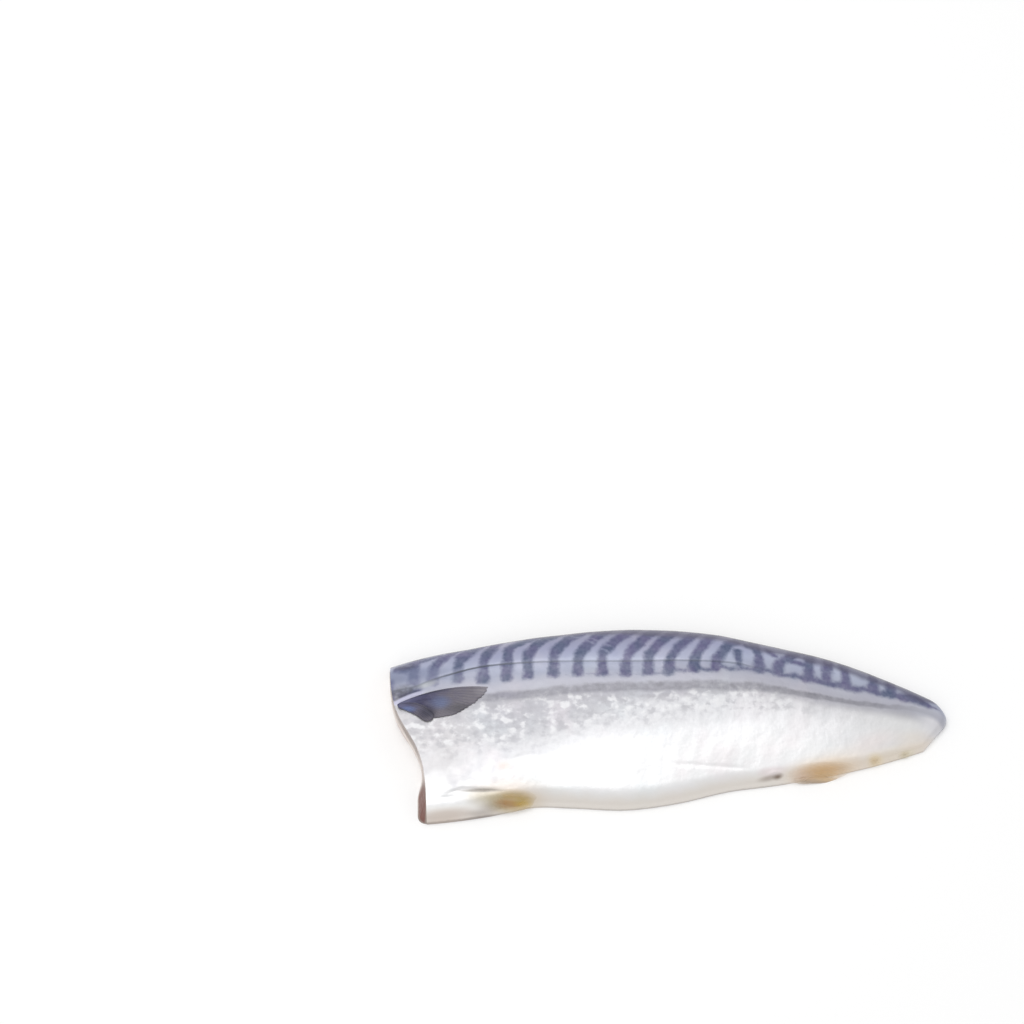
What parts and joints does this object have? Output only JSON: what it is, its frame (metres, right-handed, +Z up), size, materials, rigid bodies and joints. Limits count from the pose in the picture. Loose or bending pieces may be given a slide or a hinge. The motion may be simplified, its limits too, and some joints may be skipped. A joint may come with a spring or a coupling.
{
  "type": "mackerel fillet",
  "caption": "Skin-on mackerel fillet without head or tail, lying on its flat cut side: striped blue-grey back, silver belly, fins folded against the skin.",
  "frame": {"origin": "under the middle of the fillet's bounding box, on the surface it lies on", "axes": "+X from the head cut to the tail end, +Y from the belly edge to the back, +Z up, out of the skin side"},
  "size_m": [0.2068, 0.0763, 0.0134],
  "materials": {
    "skin": "gloss",
    "flesh": "satin",
    "dark_fin": "gloss",
    "pale_fin": "satin"
  },
  "bodies": {
    "root": {"fillet": "skin", "pectoral_fin": "dark_fin", "pelvic_fin": "pale_fin", "anal_fin": "pale_fin"}
  },
  "joints": []
}
